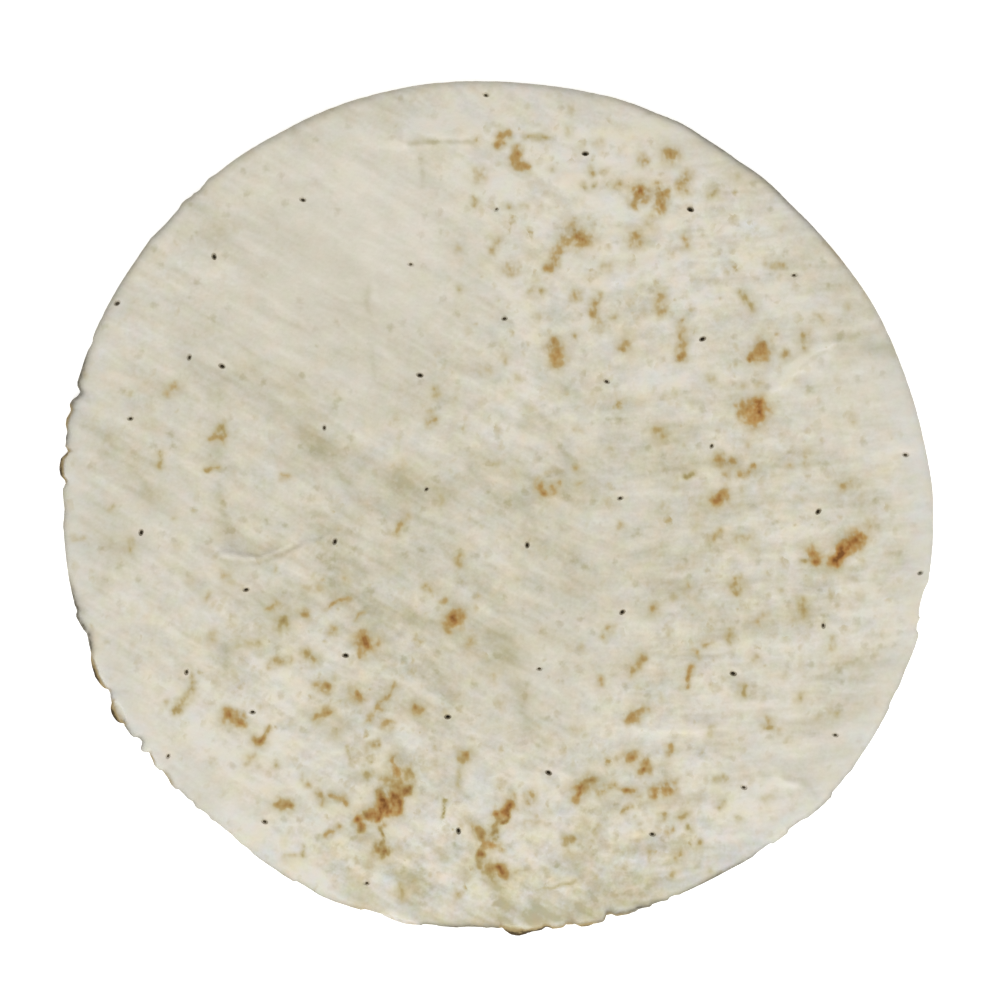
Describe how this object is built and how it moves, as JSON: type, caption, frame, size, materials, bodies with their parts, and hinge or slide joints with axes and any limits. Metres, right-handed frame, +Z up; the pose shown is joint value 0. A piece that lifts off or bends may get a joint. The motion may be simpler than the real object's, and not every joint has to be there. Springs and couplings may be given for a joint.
{
  "type": "parbaked pizza crust",
  "caption": "Thin round parbaked pizza crust, pale and lightly toasted, with blind docking holes, soft pillows and a flat underside to rest on.",
  "frame": {"origin": "on the flat underside, at the centre of the crust's box", "axes": "+Z up through the thin way of the crust, +Y to its back and +X to its right as it lies on a table"},
  "size_m": [0.3094, 0.303, 0.0082],
  "materials": {
    "parbaked_dough": "matt, floury, pale cream baked dough with toasted golden-brown flecks"
  },
  "bodies": {
    "root": {"crust": "parbaked_dough"}
  },
  "joints": []
}
